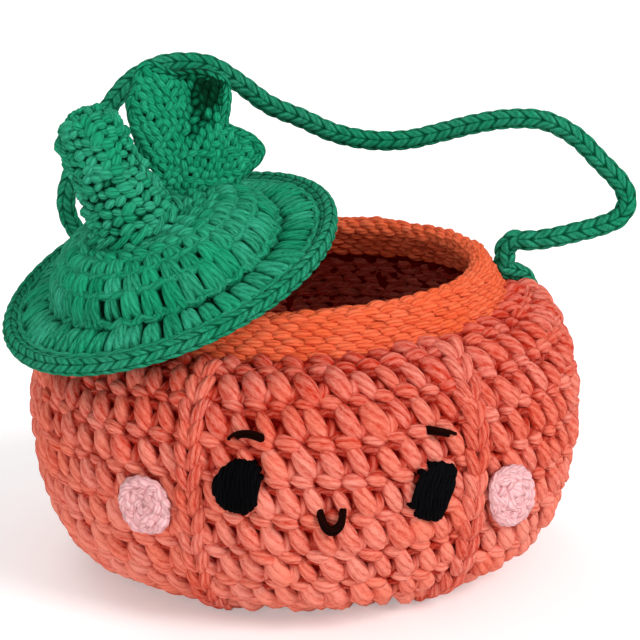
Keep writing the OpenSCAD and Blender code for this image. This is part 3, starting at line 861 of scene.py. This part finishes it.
def make_crown_and_brim():
    """Rounds of tall posts with slots between them, and a chain along the top of each round."""
    crown, brim, under = Skein(1.4), Skein(1.5), Skein(1.2)
    ways = [1.2, 4.6, 8.2, 11.8, 15.4, 19.4, 24, CROWN_WAY - 7.6, CROWN_WAY]
    for i, (low, high) in enumerate(zip(ways, ways[1:])):
        tile, width = (POST, POST_W) if high - low > LEAST_POST else (DASH, DASH_W)
        r = float(CAP_AT((low + high) / 2)[0])
        count, turn = max(7, round(2 * math.pi * r / width)), CAP_TURN_ON * i
        work_round(crown, CAP, count, low + 0.3, high, tile, turn, loose=0.06, sink=0.95)
        lay_ring(crown, CAP, count, high, -1.6, 1.7, 0.3, turn)
        work_round(under, CAP_WRONG_SIDE, count, low, high, KNOT, turn, sink=0.6, sides=6)
    count, turn = 45, 0.1
    work_round(brim, CAP, count, CROWN_WAY + 1.0, CAP_WAY - 0.5, POST, turn, loose=0.06, sink=1.1)
    lay_ring(brim, CAP, count, CROWN_WAY + 0.4, -2.2, 1.1, 0.2)
    lay_ring(brim, CAP, count, CAP_WAY - 0.6, -1.2, 1.2, 0.3)
    work_round(under, CAP_WRONG_SIDE, count, CROWN_WAY, CAP_WAY, POST, turn, sink=0.6, sides=6)
    crown.piece("lid_crown_rounds", "lid", "green_yarn", GREEN, "lid_crown")
    brim.piece("lid_brim_round", "lid", "green_yarn", GREEN, "lid_brim")
    under.piece("lid_wrong_side", "lid", "green_yarn", GREEN)
    back_with_shade_sheet(CAP, np.linspace(0.3, CAP_WAY, 50), 1.9, "lid_shade_sheet", "lid", "green_yarn", GREEN)


def make_edging():
    """A chain all round the brim."""
    angle, inward, rise = np.arange(0, 360, 1.5), 0.5, 0.4
    line = cap_frame(polar(angle, np.full(len(angle), LID_R - EDGE_R - inward), rise))
    skein = Skein(1)
    skein.braid(line, EDGE_R - 0.2, stitch=4.4, relief=0.22, closed=True)
    skein.piece("lid_edging_chain", "lid", "green_yarn", GREEN, "lid_edging")


STEM_TURN = turned((0, 1, 0), -STEM_LEAN)
STEM_SPREAD, STEM_BOW, STEM_SETTLED = 3, 1.8, 0.95


def stem_frame(p):
    return cap_frame(p @ STEM_TURN.T + [-STEM_OFF, 0, CROWN_TOP])


def make_stem():
    """A stuffed finger of knobbly rounds, wider at its foot, with the stitches that sew it on."""
    a = np.radians(np.linspace(0, 90, 12))
    shaft = np.column_stack([
        STEM_TIP_R + (STEM_FOOT_R - STEM_TIP_R) * np.cos(a) ** 2 - STEM_WAIST * np.sin(2 * a),
        (STEM_LEN - STEM_TIP_R) * a / (np.pi / 2)])
    tip = np.column_stack([STEM_TIP_R * np.cos(a), STEM_LEN - STEM_TIP_R + STEM_TIP_R * np.sin(a)])
    at, length = follow(np.vstack([shaft, tip[1:]]))

    def place(angle, way):
        r, z = at(way)
        z = z * STEM_SETTLED
        spread = STEM_SPREAD * np.clip(1 - z / STEM_LEN, 0, 1) ** 2
        bow = spread + STEM_BOW * np.clip(z / STEM_LEN, 0, 1)
        return stem_frame(polar(angle, r + spread, z) + np.outer(bow, [1, 0, 0]))

    fabric, skein, rounds, bead_w = Fabric(place), Skein(1.2), 15, 2.7
    ways = np.linspace(0, length - 1.3, rounds + 1)
    for low, high in zip(ways, ways[1:]):
        r = float(at((low + high) / 2)[0])
        count = max(4, round(2 * math.pi * r / bead_w))
        work_round(skein, fabric, count, low, high, BEAD, rng.random(), loose=0.1, sink=1.05, mixed=0.4)
    aside, up, out = SEWN.T
    sewn, yarn_r = 14, 0.95
    for k in range(sewn):
        skein.strand(fabric.lay(360 / sewn * (k + aside), up, out, yarn_r, rng.random()), sides=6)
    stem = skein.piece("stem_finger", "lid", "green_yarn", GREEN, "stem_cover", "stem_filling")
    ways = np.linspace(0, length - 0.6, 30)
    back_with_shade_sheet(fabric, ways, 1.7, "stem_shade_sheet", "lid", "green_yarn", GREEN, -0.9)


# Leaf. It folds back between its first two points, and its second point comes forward.
LEAF_TURN, LEAF_FOOT = turned((1, 0, 0), -LEAF_LEAN_BACK), [6, 5.5, CROWN_TOP + 1]
LEAF_FIRST, LEAF_LAST = LEAF_POINTS[0][0], LEAF_POINTS[-1][0]
FOLD, FOLD_AT, FOLD_WIDE = 5, 34, 9
FORWARD, FORWARD_AT, FORWARD_WIDE = 4, 58, 10
# Painted shade in the leaf's fold: how deep in mm, at what angle, how wide, and from what share of the
# reach.
SHADE, SHADE_AT, SHADE_WIDE, SHADE_FROM = 3.2, 43, 12, 0.4


def leaf_rim(angle):
    """How far the leaf reaches at an angle."""
    at, share = np.array(LEAF_POINTS).T
    i = np.clip(np.searchsorted(at, angle, "right") - 1, 0, len(at) - 2)
    f = np.clip((angle - at[i]) / (at[i + 1] - at[i]), 0, 1)
    return LEAF_REACH * (share[i] + (share[i + 1] - share[i]) * (1 - np.cos(np.pi * f)) / 2)


def leaf_place(angle, way, out):
    a = np.radians(angle)
    back = FOLD * np.exp(-((angle - FOLD_AT) / FOLD_WIDE) ** 2)
    forward = FORWARD * np.exp(-((angle - FORWARD_AT) / FORWARD_WIDE) ** 2)
    fold = (back - forward) * (way / LEAF_REACH) ** 1.5
    depth = LEAF_CURL * (way / LEAF_REACH) ** 2 + fold + out
    return cap_frame(np.column_stack([way * np.sin(a), depth, way * np.cos(a)]) @ LEAF_TURN.T + LEAF_FOOT)


def leaf_shade(angle, way):
    """Painted shade in the fold between the leaf's first two points: how many mm deeper its stitches are
    shaded than they lie.
    """
    share = np.clip((way / LEAF_REACH - SHADE_FROM) / (1 - SHADE_FROM), 0, 1)
    return SHADE * share**0.5 * np.exp(-(((angle - SHADE_AT) / SHADE_WIDE) ** 2))


def make_leaf_rows():
    """Rows of small stitches spreading from the foot, front and back."""
    skein, row, width, first_row, under_rim, inset = Skein(1.0), 1.9, 2.0, 1.5, 0.6, 1.2
    share, up, out, thick = BUMP.T
    front = Fabric(lambda angle, way: leaf_place(angle, way, inset))
    back = Fabric(lambda angle, way: leaf_place(-angle, way, LEAF_T - inset))
    for fabric, facing in ((front, 1), (back, -1)):
        for low in np.arange(first_row, LEAF_REACH, row):
            stretch = math.degrees(width / (low + row / 2))
            for angle in np.arange(LEAF_FIRST + rng.random() * stretch, LEAF_LAST, stretch):
                if low + row + under_rim > float(leaf_rim(np.array(angle + stretch / 2))):
                    continue
                higher, prouder, leaning = rng.normal(0, 0.2, 3)
                across = share if leaning < 0.1 else 0.9 - share
                rows = fabric.lay(facing * (angle + stretch * across), low + row * up + higher,
                                  out * 0.5 + prouder, thick, rng.random())
                # Painted shade on the front of the fold: the stitches are darkened, not moved.
                rows[:, 4] -= leaf_shade(angle, low) * (facing > 0)
                skein.strand(rows, steps=2, sides=6)
    skein.piece("leaf_rows", "lid", "leaf_yarn", LEAF, "leaf")


def make_leaf_edging():
    """A chain round the rim."""
    angle, inward = np.linspace(LEAF_FIRST, LEAF_LAST, 140), 1.2
    rim = leaf_place(angle, leaf_rim(angle) - inward, LEAF_T / 2)
    edge = Skein(1)
    # The edging takes a little of the fold's painted shade.
    edge.braid(rim, LEAF_T / 2 - 0.3, stitch=3.4, deep=0.3 * leaf_shade(angle, LEAF_REACH))
    edge.piece("leaf_edging", "lid", "leaf_yarn", LEAF)


def make_leaf_shade_sheet():
    """A sheet of painted shade between the leaf's two sides."""
    shares, inside, count, girth = np.linspace(0.05, 0.95, 15), 3, 140, 90
    angle = np.linspace(LEAF_FIRST + inside, LEAF_LAST - inside, count)
    layers = [leaf_place(angle, leaf_rim(angle) * s, LEAF_T / 2 - SHADE_SHEET_T) for s in shares]
    layers += [leaf_place(angle, leaf_rim(angle) * s, LEAF_T / 2 + SHADE_SHEET_T) for s in shares[::-1]]
    lay_shade_sheet(layers, -1.3, count // 2, 2 * SHADE_SHEET_T, girth,
              "leaf_shade_sheet", "lid", "leaf_yarn", LEAF)


make_crown_and_brim()
make_edging()
make_stem()
make_leaf_rows()
make_leaf_edging()
make_leaf_shade_sheet()

# Light and floor. Each lamp has its turn, its rise, its power and how wide its light is. The floor's
# sizes are in metres.
LAMPS = {"key": (46, 36, 1.95, 28), "fill": (-20, 0, 1.25, 60), "back": (205, 48, 0.7, 40)}
ROOM_LIGHT, FLOOR_GLOW, FLOOR_HALF, FLOOR_DROP = 0.52, 0.3, 4, 0.0002


def light_room():
    """Soft lamps in a white room that shows as white and lights the bag less."""
    scene = bpy.context.scene
    scene.view_settings.view_transform = "Standard"
    scene.world = bpy.data.worlds.new("room")
    start = empty_nodes(scene.world)
    ray = start.node("LightPath")
    seen = (ray + ray.also("Is Glossy Ray") + ray.also("Is Transmission Ray")).clamped()
    strength = ROOM_LIGHT + (1 - ROOM_LIGHT) * seen
    start.node("Background", (), {"Color": (1, 1, 1, 1), "Strength": strength}).show("World")
    for name, (turn, rise, power, soft) in LAMPS.items():
        lamp = bpy.data.lights.new(name, "SUN")
        lamp.energy, lamp.angle = power, math.radians(soft)
        thing = bpy.data.objects.new(name, lamp)
        thing.rotation_euler = (math.radians(90 - rise), 0, math.radians(turn))
        scene.collection.objects.link(thing)


def lay_floor():
    """White paper that keeps the bag's shadow."""
    h = FLOOR_HALF
    data = bpy.data.meshes.new("floor")
    data.from_pydata([(-h, -h, 0), (h, -h, 0), (h, h, 0), (-h, h, 0)], [], [(0, 1, 2, 3)])
    material = bpy.data.materials.new("floor_paper")
    start = empty_nodes(material)
    ray = start.node("LightPath")
    spot = start.node("TexCoord", out="Object")
    grain = start.node("TexNoise", (), {"Vector": spot, "Scale": 900, "Detail": 2})
    paper = grain * 0.03 + 0.85
    tone = start.node("CombineColor", (), {0: paper, 1: paper, 2: paper})
    matt = start.node("BsdfPrincipled", (), {
        "Base Color": tone, "Roughness": 0.9, "Specular IOR Level": 0.1})
    glow = start.node("Emission", (), {"Color": (1, 1, 1, 1), "Strength": FLOOR_GLOW * ray})
    start.node("AddShader", (), {0: matt, 1: glow}).show("Material")
    data.materials.append(material)
    floor = bpy.data.objects.new("floor", data)
    floor.location.z = -FLOOR_DROP
    floor.visible_shadow = False
    bpy.context.scene.collection.objects.link(floor)


light_room()
lay_floor()
